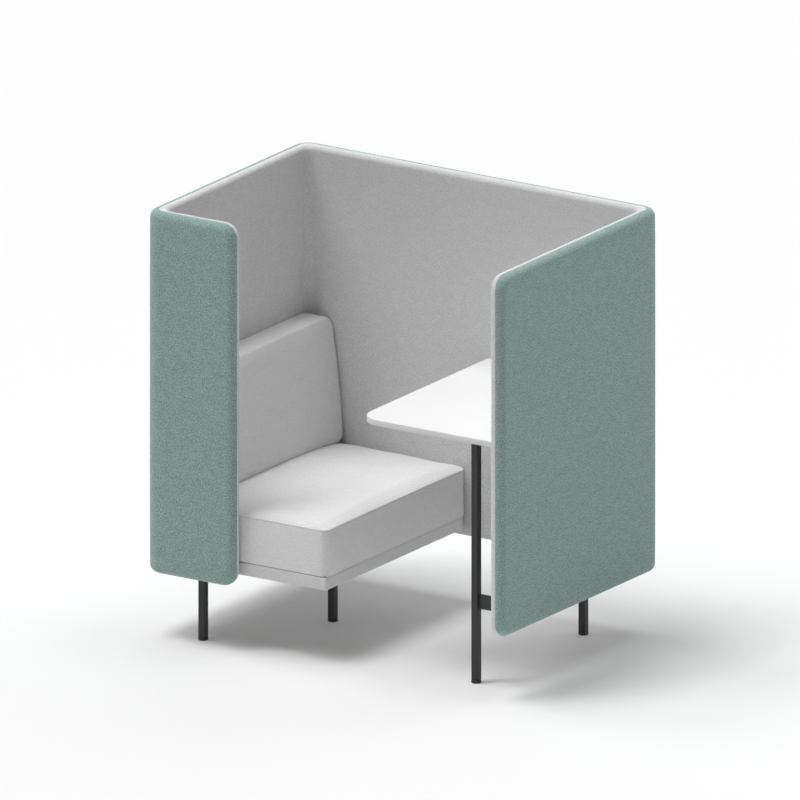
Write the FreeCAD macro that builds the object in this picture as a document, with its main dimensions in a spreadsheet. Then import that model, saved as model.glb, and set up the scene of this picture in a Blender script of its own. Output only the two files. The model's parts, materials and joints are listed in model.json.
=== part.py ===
import FreeCAD, Part
import os
import re

import Sketcher

# Work booth for one person: a padded screen that wraps round a seat and a table, on square legs.
# Millimetres. Origin on the floor under the middle of the booth, +X to the table side,
# +Y to the back wall, +Z up.

SIZES = {
    # screen
    "booth_width": 1254,
    "booth_depth": 858,
    "booth_height": 1300,
    "floor_gap": 195,
    "wing_width": 313,
    "outer_pad": 26,
    "inner_pad": 22,
    "inner_corner_radius": 8,
    "free_corner_radius": 45,
    "outer_edge_round": 23,
    "inner_edge_round": 16,
    "core_thickness": 16,
    "core_margin": 34,
    "curved_gap": 0.3,
    # seat base
    "seat_depth": 556,
    "seat_end_gap": 4,
    "base_rear_gap": 21,
    "base_bottom": 225,
    "rail_height": 26,
    "deck_thickness": 12,
    "cover_thickness": 2,
    "end_rail_width": 70,
    "side_rail_width": 50,
    "middle_rail_width": 80,
    # seat cushion
    "cushion_height": 141,
    "cushion_crown": 27,
    "cushion_end_crown": 13.5,
    "cushion_shoulder": 40,
    "cushion_overhang": 3,
    "cushion_bulge": 5,
    "cushion_front_radius": 22,
    "cushion_rear_radius": 10,
    # backrest
    "backrest_lift": 0.5,
    "backrest_depth": 131,
    "backrest_top_depth": 91,
    "backrest_height": 357,
    "backrest_face_bulge": 8,
    "backrest_foot_round": 22,
    "backrest_top_round": 13,
    "backrest_end_draw": 3,
    "backrest_corner_radius": 18,
    "board_thickness": 12,
    "board_margin": 45,
    "board_play": 0.3,
    "cleat_depth": 8,
    "cleat_height": 30,
    "cleat_play": 0.2,
    "cleat_length": 520,
    # table
    "table_height": 755,
    "table_thickness": 18,
    "table_width": 524,
    "table_gap": 3,
    "table_setback": 110.5,
    "table_corner_radius": 67,
    "angle_leg": 30,
    "angle_thickness": 3,
    "side_angle_length": 400,
    "back_angle_length": 260,
    # legs
    "leg_side": 22,
    "leg_corner_radius": 2,
    "leg_wall": 1.5,
    "seat_leg_reach": 120,
    "seat_leg_inset": 13,
    "middle_leg_reach": 336,
    "table_leg_reach": 136,
    "table_leg_inset": 31.5,
    "plate_size": 70,
    "plate_thickness": 4,
    "plate_corner_radius": 8,
    "plate_hole": 6.5,
    "plate_hole_margin": 10,
    "bracket_height": 44,
    "bracket_lift": 33,
    "bracket_bar": 6,
    "bracket_flange": 4,
    "bracket_flange_width": 64,
    # levelling glides
    "glide_diameter": 30,
    "glide_height": 8.7,
    "glide_edge_round": 2.5,
    "glide_gap": 0.3,
    "stem_diameter": 8,
    "stem_clearance": 0.05,
    "stem_reach": 4,
    "insert_flange": 2,
    "insert_length": 25,
    "insert_play": 0.05,
}

# Lengths that follow from the sizes above
LENGTHS = {
    "wall": "outer_pad + inner_pad",
    "corner_radius": "inner_corner_radius + wall",
    "split_radius": "corner_radius - outer_pad",
    "screen_height": "booth_height - floor_gap",
    "left_face": "booth_width / 2 - wall",
    "back_face": "booth_depth / 2 - wall",
    "seat_front": "back_face - seat_end_gap",
    "seat_length": "2 * seat_front",
    "base_length": "2 * back_face - seat_end_gap - base_rear_gap",
    "base_height": "rail_height + deck_thickness",
    "deck_bottom": "base_bottom + rail_height",
    "base_top": "base_bottom + base_height",
    "corner_reach": "max(0; inner_corner_radius - seat_end_gap - cover_thickness)",
    "corner_relief": "inner_corner_radius - sqrt(inner_corner_radius ^ 2 - corner_reach ^ 2) + curved_gap",
    "rail_span": "frame_depth - 2 * side_rail_width",
    "frame_front": "seat_front - cover_thickness",
    "frame_rear": "base_length - seat_front - cover_thickness",
    "frame_length": "base_length - 2 * cover_thickness",
    "frame_depth": "seat_depth - cover_thickness - corner_relief",
    "cushion_edge": "seat_depth + cushion_overhang - cushion_bulge",
    "cushion_top": "base_top + cushion_height + cushion_crown",
    "backrest_bottom": "cushion_top + backrest_lift",
    "recess_depth": "board_thickness + cleat_depth",
    "board_length": "seat_length - 2 * board_margin",
    "board_height": "backrest_height - backrest_top_round - 2 * board_margin",
    "cleat_bottom": "backrest_bottom + board_margin + board_height / 2",
    "table_length": "back_face - table_gap + table_front",
    "table_front": "booth_depth / 2 - table_setback",
    "table_bottom": "table_height - table_thickness",
    "leg_half": "leg_side / 2",
    "bore_corner_radius": "max(leg_corner_radius / 10; leg_corner_radius - leg_wall)",
    "insert_bottom": "glide_height + glide_gap",
    "tube_bottom": "insert_bottom + insert_flange",
    "stem_top": "tube_bottom + insert_length + stem_reach",
}

# Share of a rounding's radius by which the middle of its arc lies inside the sharp corner
NIP_RATIO = 1 - 0.5 ** 0.5

# Cross-sections of the cushions along their length, as shares of it, and how fast the ends draw in
CUSHION_STATIONS = (0, 0.08, 0.25, 0.5, 0.75, 0.92, 1)
END_POWER = 3

# Share of the seat's crown that its shoulder climbs, and the share at the middle of the level stretch
SHOULDER_RISE = 0.7
CREST_RISE = 0.92

# Point that the shoulder passes, as shares of its width and of the crown
SHOULDER_PASS = (0.3, 0.42)

# Largest rounding of a pad's edge, as a share of its thickness
ROUND_LIMIT = 0.9

doc = FreeCAD.newDocument("booth")
sheet = doc.addObject("Spreadsheet::Sheet", "Size")
for row, (alias, value) in enumerate(SIZES.items(), start=1):
    sheet.set(f"A{row}", alias)
    sheet.set(f"B{row}", str(value))
    sheet.setAlias(f"B{row}", alias)
doc.recompute()

sub_parts = []


def formula(text):
    """Sheet expression for a text written with the names of sizes and lengths."""
    def full(match):
        word = match.group(0)
        if word in LENGTHS:
            return f"({formula(LENGTHS[word])})"
        return f"Size.{word}" if word in SIZES else word
    return re.sub(r"[a-z_]+", full, text)


def measure(text):
    """Length in millimetres of such a text."""
    return float(sheet.evalExpression(formula(text)))


def place(item, x, y, z, turn=0):
    """Puts an object at a point, turned about the vertical by whole degrees."""
    item.Placement = FreeCAD.Placement(FreeCAD.Vector(), FreeCAD.Rotation(FreeCAD.Vector(0, 0, 1), turn))
    for axis, text in zip("xyz", (x, y, z)):
        item.setExpression(f"Placement.Base.{axis}", formula(text))


def new_body(label):
    """Empty body that becomes one sub-part."""
    body = doc.addObject("PartDesign::Body", label)
    body.Label = label
    sub_parts.append(body)
    return body


def new_sketch(body, name, role, offset="0"):
    """Sketch on one of the body's own planes, moved along the plane's normal by an offset."""
    sketch = body.newObject("Sketcher::SketchObject", f"{body.Label}_{name}")
    support = next(plane for plane in body.Origin.OriginFeatures if plane.Role == role)
    sketch.AttachmentSupport = (support, [""])
    sketch.MapMode = "FlatFace"
    sketch.setExpression("AttachmentOffset.Base.z", formula(offset))
    return sketch


def tie_point(sketch, geometry, position, x, y):
    """Holds a sketch point at two lengths from the sketch's axes."""
    for kind, axis, text in (("DistanceX", -2, x), ("DistanceY", -1, y)):
        if text == "0":
            sketch.addConstraint(Sketcher.Constraint("PointOnObject", geometry, position, axis))
            continue
        number = sketch.addConstraint(Sketcher.Constraint(kind, geometry, position, measure(text)))
        sketch.setExpression(f"Constraints[{number}]", formula(text))


def draw_outline(sketch, points):
    """Closed outline: (x, y) starts a line, (x, y, mid_x, mid_y) starts an arc through its middle."""
    ends = [FreeCAD.Vector(measure(point[0]), measure(point[1]), 0) for point in points]
    starts = []
    for number, point in enumerate(points):
        start = ends[number]
        end = ends[(number + 1) % len(points)]
        if len(point) == 2:
            starts.append((sketch.addGeometry(Part.LineSegment(start, end)), 1, 2))
            continue
        middle = FreeCAD.Vector(measure(point[2]), measure(point[3]), 0)
        if (middle - start).cross(end - middle).z > 0:
            starts.append((sketch.addGeometry(Part.Arc(start, middle, end)), 1, 2))
        else:
            starts.append((sketch.addGeometry(Part.Arc(end, middle, start)), 2, 1))
    for number, (geometry, start, end) in enumerate(starts):
        following = starts[(number + 1) % len(starts)]
        sketch.addConstraint(Sketcher.Constraint("Coincident", geometry, end, following[0], following[1]))
    for point, (geometry, start, end) in zip(points, starts):
        tie_point(sketch, geometry, start, point[0], point[1])
        if len(point) == 4:
            middle = FreeCAD.Vector(measure(point[2]), measure(point[3]), 0)
            mark = sketch.addGeometry(Part.Point(middle), True)
            tie_point(sketch, mark, 1, point[2], point[3])
            sketch.addConstraint(Sketcher.Constraint("PointOnObject", mark, 1, geometry))


def draw_circle(sketch, x, y, diameter):
    """Circle held by its centre and diameter."""
    centre = FreeCAD.Vector(measure(x), measure(y), 0)
    circle = sketch.addGeometry(Part.Circle(centre, FreeCAD.Vector(0, 0, 1), measure(diameter) / 2))
    tie_point(sketch, circle, 3, x, y)
    number = sketch.addConstraint(Sketcher.Constraint("Diameter", circle, measure(diameter)))
    sketch.setExpression(f"Constraints[{number}]", formula(diameter))


def add_pad(body, sketch, length, reverse=False):
    """Extrudes a sketch along its normal, or against it."""
    pad = body.newObject("PartDesign::Pad", f"{sketch.Name}_pad")
    pad.Profile = sketch
    pad.setExpression("Length", formula(length))
    pad.Reversed = reverse
    doc.recompute()
    return pad


def add_pocket(body, sketch, depth, reverse=False):
    """Cuts a sketch into the body and makes sure that it removed material."""
    before = body.Tip.Shape.Volume
    pocket = body.newObject("PartDesign::Pocket", f"{sketch.Name}_pocket")
    pocket.Profile = sketch
    pocket.setExpression("Length", formula(depth))
    pocket.Reversed = reverse
    doc.recompute()
    if pocket.Shape.Volume >= before:
        raise RuntimeError(f"{pocket.Name} cuts nothing")
    return pocket


def add_revolution(body, sketch, angle):
    """Turns a sketch about its own vertical axis."""
    revolution = body.newObject("PartDesign::Revolution", f"{sketch.Name}_turn")
    revolution.Profile = sketch
    revolution.ReferenceAxis = (sketch, ["V_Axis"])
    revolution.Angle = angle
    doc.recompute()
    return revolution


def add_loft(body, sketches):
    """Smooth solid through sketches in order."""
    loft = body.newObject("PartDesign::AdditiveLoft", f"{body.Label}_loft")
    loft.Profile = sketches[0]
    loft.Sections = sketches[1:]
    doc.recompute()
    return loft


def add_fillet(body, base, chosen, radius):
    """Rounds the edges of the last feature whose bounding box passes the test."""
    names = [f"Edge{number}" for number, edge in enumerate(base.Shape.Edges, start=1) if chosen(edge.BoundBox)]
    fillet = body.newObject("PartDesign::Fillet", f"{base.Name}_round")
    fillet.Base = (base, names)
    fillet.setExpression("Radius", formula(radius))
    doc.recompute()
    return fillet


def corner_waste(x, x_way, y, y_way, radius):
    """Outline of what a rounded upright corner takes off the sharp one at x and y."""
    nip = f"{radius} * {NIP_RATIO}"
    return (
        (x, y),
        (f"{x} {x_way} {radius}", y, f"{x} {x_way} {nip}", f"{y} {y_way} {nip}"),
        (x, f"{y} {y_way} {radius}"),
    )


def rounded_square(low, high, radius):
    """Outline of a square that runs from low to high both ways, with rounded corners."""
    nip = f"{radius} * {NIP_RATIO}"
    return (
        (f"{low} + {radius}", low),
        (f"{high} - {radius}", low, f"{high} - {nip}", f"{low} + {nip}"),
        (high, f"{low} + {radius}"),
        (high, f"{high} - {radius}", f"{high} - {nip}", f"{high} - {nip}"),
        (f"{high} - {radius}", high),
        (f"{low} + {radius}", high, f"{low} + {nip}", f"{high} - {nip}"),
        (low, f"{high} - {radius}"),
        (low, f"{low} + {radius}", f"{low} + {nip}", f"{low} + {nip}"),
    )


def near(value, target):
    return abs(value - target) < 0.01


def board(label, start, extent):
    """Straight rectangular piece of timber or board, given by its low corner and its sizes."""
    item = doc.addObject("Part::Box", label)
    item.Label = label
    for name, text in zip(("Length", "Width", "Height"), extent):
        item.setExpression(name, formula(text))
    place(item, *start)
    sub_parts.append(item)


# Straight walls of the screen, each in a frame of its own: x along the wall, y inwards from the
# outer face, z up from the bottom edge.
# name, length, free end, place of the frame, turn
WALLS = (
    ("wing", "wing_width - corner_radius", "far",
     "corner_radius - booth_width / 2", "-booth_depth / 2", 0),
    ("left", "booth_depth - 2 * corner_radius", None,
     "-booth_width / 2", "booth_depth / 2 - corner_radius", -90),
    ("back", "booth_width - 2 * corner_radius", None,
     "booth_width / 2 - corner_radius", "booth_depth / 2", 180),
    ("right", "booth_depth - corner_radius", "near",
     "booth_width / 2", "-booth_depth / 2", 90),
)

# name, direction of the corner from the middle of the booth in x and y, turn
CORNERS = (
    ("rear_right", 1, 1, 0),
    ("rear_left", -1, 1, 90),
    ("front_left", -1, -1, 180),
)


def wall_outline(length, free_end):
    """Elevation of a straight wall, with rounded corners at its free end."""
    nip = f"free_corner_radius * {NIP_RATIO}"
    low = ("0", "0")
    far = (length, "0")
    if free_end == "far":
        return (
            low,
            (f"{length} - free_corner_radius", "0", f"{length} - {nip}", nip),
            (length, "free_corner_radius"),
            (length, "screen_height - free_corner_radius", f"{length} - {nip}", f"screen_height - {nip}"),
            (f"{length} - free_corner_radius", "screen_height"),
            ("0", "screen_height"),
        )
    if free_end == "near":
        return (
            ("free_corner_radius", "0"),
            far,
            (length, "screen_height"),
            ("free_corner_radius", "screen_height", nip, f"screen_height - {nip}"),
            ("0", "screen_height - free_corner_radius"),
            ("0", "free_corner_radius", nip, nip),
        )
    return low, far, (length, "screen_height"), ("0", "screen_height")


def core_outline(length, free_end):
    """Elevation of a wall's core board, short of the free end and of the top and bottom edges."""
    start = "core_margin" if free_end == "near" else "0"
    end = f"{length} - core_margin" if free_end == "far" else length
    top = "screen_height - core_margin"
    return (start, "core_margin"), (end, "core_margin"), (end, top), (start, top)


def straight_wall(name, length, free_end, x, y, turn):
    """Outer pad, inner pad and core board of one wall; the board lies half in each pad."""
    joint_ends = [0.0, measure(length)]
    if free_end == "far":
        joint_ends.pop()
    if free_end == "near":
        joint_ends.pop(0)
    layers = (
        ("outer_pad", "0", "outer_pad", "outer_edge_round", 0.0, True),
        ("inner_pad", "-outer_pad", "inner_pad", "inner_edge_round", measure("wall"), False),
    )
    for layer, offset, thickness, edge_round, show_face, cut_back in layers:
        body = new_body(f"{layer}_{name}")
        outline = new_sketch(body, "outline", "XZ_Plane", offset)
        draw_outline(outline, wall_outline(length, free_end))
        pad = add_pad(body, outline, thickness, reverse=True)

        def on_show_face(box):
            at_joint = any(near(box.XMin, end) and near(box.XMax, end) for end in joint_ends)
            return near(box.YMin, show_face) and near(box.YMax, show_face) and not at_joint

        add_fillet(body, pad, on_show_face, f"min({edge_round}; {ROUND_LIMIT} * {thickness})")
        recess = new_sketch(body, "recess", "XZ_Plane", "-outer_pad")
        draw_outline(recess, core_outline(length, free_end))
        add_pocket(body, recess, "core_thickness / 2", reverse=cut_back)
        place(body, x, y, "floor_gap", turn)
    core = new_body(f"core_board_{name}")
    outline = new_sketch(core, "outline", "XZ_Plane", "core_thickness / 2 - outer_pad")
    draw_outline(outline, core_outline(length, free_end))
    add_pad(core, outline, "core_thickness", reverse=True)
    place(core, x, y, "floor_gap", turn)


def round_corner(name, side, end, turn):
    """Outer pad, inner pad and post of one corner, each a quarter turn of its cross-section."""
    top = "screen_height"
    core_top = "screen_height - core_margin"
    outer_round = f"min(outer_edge_round; {ROUND_LIMIT} * outer_pad)"
    outer_nip = f"{outer_round} * {NIP_RATIO}"
    inner_round = f"min(inner_edge_round; {ROUND_LIMIT} * inner_pad)"
    inner_nip = f"{inner_round} * {NIP_RATIO}"
    show = "inner_corner_radius"
    split = "split_radius - curved_gap"
    sections = {
        "outer_corner": (
            ("split_radius", "0"),
            (f"corner_radius - {outer_round}", "0", f"corner_radius - {outer_nip}", outer_nip),
            ("corner_radius", outer_round),
            ("corner_radius", f"{top} - {outer_round}", f"corner_radius - {outer_nip}", f"{top} - {outer_nip}"),
            (f"corner_radius - {outer_round}", top),
            ("split_radius", top),
            ("split_radius", core_top),
            ("split_radius + core_thickness / 2", core_top),
            ("split_radius + core_thickness / 2", "core_margin"),
            ("split_radius", "core_margin"),
        ),
        "inner_corner": (
            (f"{show} + {inner_round}", "0"),
            (split, "0"),
            (split, "core_margin"),
            ("split_radius - core_thickness / 2", "core_margin"),
            ("split_radius - core_thickness / 2", core_top),
            (split, core_top),
            (split, top),
            (f"{show} + {inner_round}", top, f"{show} + {inner_nip}", f"{top} - {inner_nip}"),
            (show, f"{top} - {inner_round}"),
            (show, inner_round, f"{show} + {inner_nip}", inner_nip),
        ),
        "corner_post": (
            ("split_radius - core_thickness / 2 + curved_gap", "core_margin"),
            ("split_radius + core_thickness / 2 - curved_gap", "core_margin"),
            ("split_radius + core_thickness / 2 - curved_gap", core_top),
            ("split_radius - core_thickness / 2 + curved_gap", core_top),
        ),
    }
    for layer, section in sections.items():
        body = new_body(f"{layer}_{name}")
        outline = new_sketch(body, "section", "XZ_Plane")
        draw_outline(outline, section)
        add_revolution(body, outline, 90)
        place(body, f"{side} * (booth_width / 2 - corner_radius)",
              f"{end} * (booth_depth / 2 - corner_radius)", "floor_gap", turn)


def seat_base():
    """Rails under a plywood deck, with a fabric band over the free sides."""
    left = "corner_relief - left_face"
    right = "seat_depth - cover_thickness - side_rail_width - left_face"
    inside = "corner_relief + side_rail_width - left_face"
    front = "-frame_front"
    board("seat_rail_left", (left, front, "base_bottom"), ("side_rail_width", "frame_length", "rail_height"))
    board("seat_rail_right", (right, front, "base_bottom"), ("side_rail_width", "frame_length", "rail_height"))
    board("seat_rail_front", (inside, front, "base_bottom"), ("rail_span", "end_rail_width", "rail_height"))
    board("seat_rail_rear", (inside, "frame_rear - end_rail_width", "base_bottom"),
          ("rail_span", "end_rail_width", "rail_height"))
    board("seat_rail_middle", (inside, "-middle_rail_width / 2", "base_bottom"),
          ("rail_span", "middle_rail_width", "rail_height"))
    board("seat_deck", (left, front, "deck_bottom"), ("frame_depth", "frame_length", "deck_thickness"))
    cover = new_body("seat_base_cover")
    band = new_sketch(cover, "band", "XY_Plane")
    start = "inner_corner_radius"
    lining = "seat_depth - cover_thickness"
    draw_outline(band, (
        (start, "0"),
        ("seat_depth", "0"),
        ("seat_depth", "base_length"),
        (start, "base_length"),
        (start, "base_length - cover_thickness"),
        (lining, "base_length - cover_thickness"),
        (lining, "cover_thickness"),
        (start, "cover_thickness"),
    ))
    add_pad(cover, band, "base_height")
    place(cover, "-left_face", "-seat_front", "base_bottom")


def end_fall(share):
    """How far the seat's crown has fallen at a station along the cushion."""
    return f"{abs(2 * share - 1) ** END_POWER} * (cushion_crown - cushion_end_crown)"


def seat_cushion():
    """Boxed cushion: top level under the backrest, full shoulder and side beyond, rounded corners."""
    body = new_body("seat_cushion")
    side = "seat_depth + cushion_overhang"
    across, up = SHOULDER_PASS
    sections = []
    for number, share in enumerate(CUSHION_STATIONS):
        crown = f"(cushion_crown - {end_fall(share)})"
        section = new_sketch(body, f"section_{number}", "XZ_Plane", f"-{share} * seat_length")
        draw_outline(section, (
            ("0", "0"),
            ("cushion_edge", "0", side, "cushion_height / 2"),
            ("cushion_edge", "cushion_height",
             f"cushion_edge - {across} * cushion_shoulder", f"cushion_height + {up} * {crown}"),
            ("cushion_edge - cushion_shoulder", f"cushion_height + {SHOULDER_RISE} * {crown}",
             "(backrest_depth + cushion_edge - cushion_shoulder) / 2",
             f"cushion_height + {CREST_RISE} * {crown}"),
            ("backrest_depth", f"cushion_height + {crown}"),
            ("0", f"cushion_height + {crown}"),
        ))
        sections.append(section)
    add_loft(body, sections)
    corners = new_sketch(body, "corners", "XY_Plane")
    draw_outline(corners, corner_waste("0", "+", "0", "+", "inner_corner_radius"))
    draw_outline(corners, corner_waste("0", "+", "seat_length", "-", "inner_corner_radius"))
    draw_outline(corners, corner_waste(side, "-", "0", "+", "cushion_front_radius"))
    draw_outline(corners, corner_waste(side, "-", "seat_length", "-", "cushion_rear_radius"))
    add_pocket(body, corners, "cushion_height + 2 * cushion_crown", reverse=True)
    place(body, "-left_face", "-seat_front", "base_top")


def backrest():
    """Wedge cushion with a convex face and a foot that follows the seat, on a board and split cleat."""
    body = new_body("backrest_cushion")
    foot_nip = f"backrest_foot_round * {NIP_RATIO}"
    top_nip = f"backrest_top_round * {NIP_RATIO}"
    sections = []
    for number, share in enumerate(CUSHION_STATIONS):
        draw = f"{abs(2 * share - 1) ** END_POWER} * backrest_end_draw"
        deep = f"backrest_depth - {draw}"
        shallow = f"backrest_top_depth - {draw}"
        top = f"backrest_height - {draw} / 2"
        foot = f"-({end_fall(share)})"
        section = new_sketch(body, f"section_{number}", "XZ_Plane", f"-{share} * seat_length")
        draw_outline(section, (
            ("0", foot),
            (f"{deep} - backrest_foot_round", foot, f"{deep} - {foot_nip}", f"{foot} + {foot_nip}"),
            (deep, f"{foot} + backrest_foot_round",
             f"({deep} + {shallow}) / 2 + backrest_face_bulge",
             f"({top} + backrest_foot_round - backrest_top_round) / 2"),
            (shallow, f"{top} - backrest_top_round", f"{shallow} - {top_nip}", f"{top} - {top_nip}"),
            (f"{shallow} - backrest_top_round", top),
            ("0", top),
        ))
        sections.append(section)
    add_loft(body, sections)
    recess = new_sketch(body, "recess", "YZ_Plane")
    low = "board_margin - board_play"
    far = "seat_length - board_margin + board_play"
    high = "board_margin + board_height + board_play"
    draw_outline(recess, ((low, low), (far, low), (far, high), (low, high)))
    add_pocket(body, recess, "recess_depth", reverse=True)
    corners = new_sketch(body, "corners", "XY_Plane", "-cushion_crown")
    draw_outline(corners, corner_waste("0", "+", "0", "+", "backrest_corner_radius"))
    draw_outline(corners, corner_waste("0", "+", "seat_length", "-", "backrest_corner_radius"))
    add_pocket(body, corners, "cushion_crown + backrest_height", reverse=True)
    place(body, "-left_face", "-seat_front", "backrest_bottom")
    board("backrest_board", ("cleat_depth - left_face", "board_margin - seat_front",
                             "backrest_bottom + board_margin"),
          ("board_thickness", "board_length", "board_height"))
    hook = "cleat_height - cleat_depth"
    cleats = (
        ("backrest_wall_cleat", "0",
         (("0", "0"), ("cleat_depth", "0"), ("cleat_depth", "cleat_height"), ("0", hook))),
        ("backrest_board_cleat", f"{hook} + cleat_play",
         (("0", "0"), ("cleat_depth", "cleat_depth"), ("cleat_depth", "cleat_height"), ("0", "cleat_height"))),
    )
    for label, rise, points in cleats:
        cleat = new_body(label)
        section = new_sketch(cleat, "section", "XZ_Plane")
        draw_outline(section, points)
        add_pad(cleat, section, "cleat_length", reverse=True)
        place(cleat, "-left_face", "-cleat_length / 2", f"cleat_bottom + {rise}")


def table():
    """Top with one large rounded corner, and the steel angles that hold it to the walls."""
    body = new_body("table_top")
    plan = new_sketch(body, "plan", "XY_Plane")
    nip = f"table_corner_radius * {NIP_RATIO}"
    draw_outline(plan, (
        ("table_corner_radius", "0"),
        ("table_width", "0"),
        ("table_width", "table_length"),
        ("0", "table_length"),
        ("0", "table_corner_radius", nip, nip),
    ))
    add_pad(body, plan, "table_thickness")
    place(body, "left_face - table_gap - table_width", "-table_front", "table_bottom")
    leaf = "angle_leg - angle_thickness"
    angles = (
        ("table_side_angle", "side_angle_length", "left_face", "side_angle_length / 2", 180),
        ("table_back_angle", "back_angle_length",
         "left_face - table_width / 2 - back_angle_length / 2", "back_face", -90),
    )
    for label, length, x, y, turn in angles:
        angle = new_body(label)
        section = new_sketch(angle, "section", "XZ_Plane")
        draw_outline(section, (
            ("0", "0"),
            ("angle_thickness", "0"),
            ("angle_thickness", leaf),
            ("angle_leg", leaf),
            ("angle_leg", "angle_leg"),
            ("0", "angle_leg"),
        ))
        add_pad(angle, section, length, reverse=True)
        place(angle, x, y, "table_bottom - angle_leg", turn)


# name, place in x and y, height of the surface above, way that the plate reaches from the tube in y
TABLE_LEG_X = "left_face - table_leg_reach"
TABLE_LEG_Y = "table_front - table_leg_inset"
LEGS = (
    ("seat_front", "seat_leg_reach - left_face", "seat_leg_inset - frame_front", "base_bottom", 1),
    ("seat_rear", "seat_leg_reach - left_face", "frame_rear - seat_leg_inset", "base_bottom", -1),
    ("seat_middle", "middle_leg_reach - left_face", "0", "base_bottom", 0),
    ("table_front", TABLE_LEG_X, f"-({TABLE_LEG_Y})", "table_bottom", 1),
    ("table_rear", TABLE_LEG_X, TABLE_LEG_Y, "table_bottom", -1),
)


def leg(name, x, y, ceiling, reach):
    """Square tube with a welded plate at the top, an end insert and a levelling glide."""
    corner = (f"{x} - leg_half", f"{y} - leg_half")
    tube = new_body(f"leg_tube_{name}")
    ring = new_sketch(tube, "ring", "XY_Plane", "tube_bottom")
    draw_outline(ring, rounded_square("0", "leg_side", "leg_corner_radius"))
    draw_outline(ring, rounded_square("leg_wall", "leg_side - leg_wall", "bore_corner_radius"))
    add_pad(tube, ring, f"{ceiling} - plate_thickness - tube_bottom")
    place(tube, *corner, "0")

    plate = new_body(f"leg_plate_{name}")
    face = new_sketch(plate, "face", "XY_Plane")
    draw_outline(face, rounded_square("0", "plate_size", "plate_corner_radius"))
    for hole_x in ("plate_hole_margin", "plate_size - plate_hole_margin"):
        for hole_y in ("plate_hole_margin", "plate_size - plate_hole_margin"):
            draw_circle(face, hole_x, hole_y, "plate_hole")
    add_pad(plate, face, "plate_thickness")
    overlap = "(plate_size / 2 - leg_half)"
    place(plate, f"{x} - plate_size / 2", f"{y} - plate_size / 2 + {reach} * {overlap}",
          f"{ceiling} - plate_thickness")

    insert = new_body(f"leg_insert_{name}")
    bore = "stem_diameter + 2 * stem_clearance"
    plug = "leg_wall + insert_play"
    steps = (
        ("flange", "insert_bottom", "insert_flange", ("0", "leg_side", "leg_corner_radius")),
        ("plug", "tube_bottom", "insert_length", (plug, f"leg_side - ({plug})", "bore_corner_radius")),
    )
    for step, bottom, height, square in steps:
        section = new_sketch(insert, step, "XY_Plane", bottom)
        draw_outline(section, rounded_square(*square))
        draw_circle(section, "leg_half", "leg_half", bore)
        add_pad(insert, section, height)
    place(insert, *corner, "0")

    glide = new_body(f"glide_{name}")
    section = new_sketch(glide, "section", "XZ_Plane")
    rim = "glide_diameter / 2"
    nip = f"glide_edge_round * {NIP_RATIO}"
    draw_outline(section, (
        ("0", "0"),
        (f"{rim} - glide_edge_round", "0", f"{rim} - {nip}", nip),
        (rim, "glide_edge_round"),
        (rim, "glide_height - glide_edge_round", f"{rim} - {nip}", f"glide_height - {nip}"),
        (f"{rim} - glide_edge_round", "glide_height"),
        ("stem_diameter / 2", "glide_height"),
        ("stem_diameter / 2", "stem_top"),
        ("0", "stem_top"),
    ))
    add_revolution(glide, section, 360)
    place(glide, x, y, "0")


def leg_bracket(name, y):
    """Flat bar from a table leg to a flange on the right wall."""
    body = new_body(f"leg_bracket_{name}")
    plan = new_sketch(body, "plan", "XY_Plane")
    middle = "bracket_flange_width / 2"
    face = "table_leg_reach - bracket_flange"
    draw_outline(plan, (
        ("leg_half", f"{middle} - bracket_bar / 2"),
        (face, f"{middle} - bracket_bar / 2"),
        (face, "0"),
        ("table_leg_reach", "0"),
        ("table_leg_reach", "bracket_flange_width"),
        (face, "bracket_flange_width"),
        (face, f"{middle} + bracket_bar / 2"),
        ("leg_half", f"{middle} + bracket_bar / 2"),
    ))
    add_pad(body, plan, "bracket_height")
    place(body, TABLE_LEG_X, f"{y} - {middle}", "floor_gap + bracket_lift")


for wall_data in WALLS:
    straight_wall(*wall_data)
for corner_data in CORNERS:
    round_corner(*corner_data)
seat_base()
seat_cushion()
backrest()
table()
for leg_data in LEGS:
    leg(*leg_data)
leg_bracket("front", f"-({TABLE_LEG_Y})")
leg_bracket("rear", TABLE_LEG_Y)
doc.recompute()

for item in doc.Objects:
    if "Invalid" in item.State or "Error" in item.State:
        raise RuntimeError(f"{item.Name} failed: {item.State}")
for item in sub_parts:
    if item.Shape.isNull() or not item.Shape.isValid():
        raise RuntimeError(f"{item.Label} has no valid solid")

os.makedirs("parts", exist_ok=True)
for item in sub_parts:
    item.Shape.exportStep(f"parts/{item.Label}.step")
print(f"{len(sub_parts)} sub-parts written")
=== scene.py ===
import json
import math

import bmesh
import bpy
import numpy as np
from mathutils import Matrix, Vector


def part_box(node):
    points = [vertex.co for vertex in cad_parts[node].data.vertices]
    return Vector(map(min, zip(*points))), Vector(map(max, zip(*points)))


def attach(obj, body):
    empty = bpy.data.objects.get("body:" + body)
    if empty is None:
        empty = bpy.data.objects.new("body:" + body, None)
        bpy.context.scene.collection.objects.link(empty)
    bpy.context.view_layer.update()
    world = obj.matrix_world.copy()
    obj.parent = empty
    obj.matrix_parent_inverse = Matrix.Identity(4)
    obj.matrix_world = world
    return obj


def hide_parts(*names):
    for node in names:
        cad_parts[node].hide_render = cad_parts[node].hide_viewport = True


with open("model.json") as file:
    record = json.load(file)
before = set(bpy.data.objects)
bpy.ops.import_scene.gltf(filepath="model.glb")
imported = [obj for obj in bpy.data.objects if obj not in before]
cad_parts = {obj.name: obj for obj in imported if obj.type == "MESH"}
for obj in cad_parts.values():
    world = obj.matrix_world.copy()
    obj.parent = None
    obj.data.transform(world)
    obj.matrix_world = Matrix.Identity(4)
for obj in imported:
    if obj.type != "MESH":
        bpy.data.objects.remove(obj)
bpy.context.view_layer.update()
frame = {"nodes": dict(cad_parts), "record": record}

QUARTER = math.pi / 2
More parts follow.
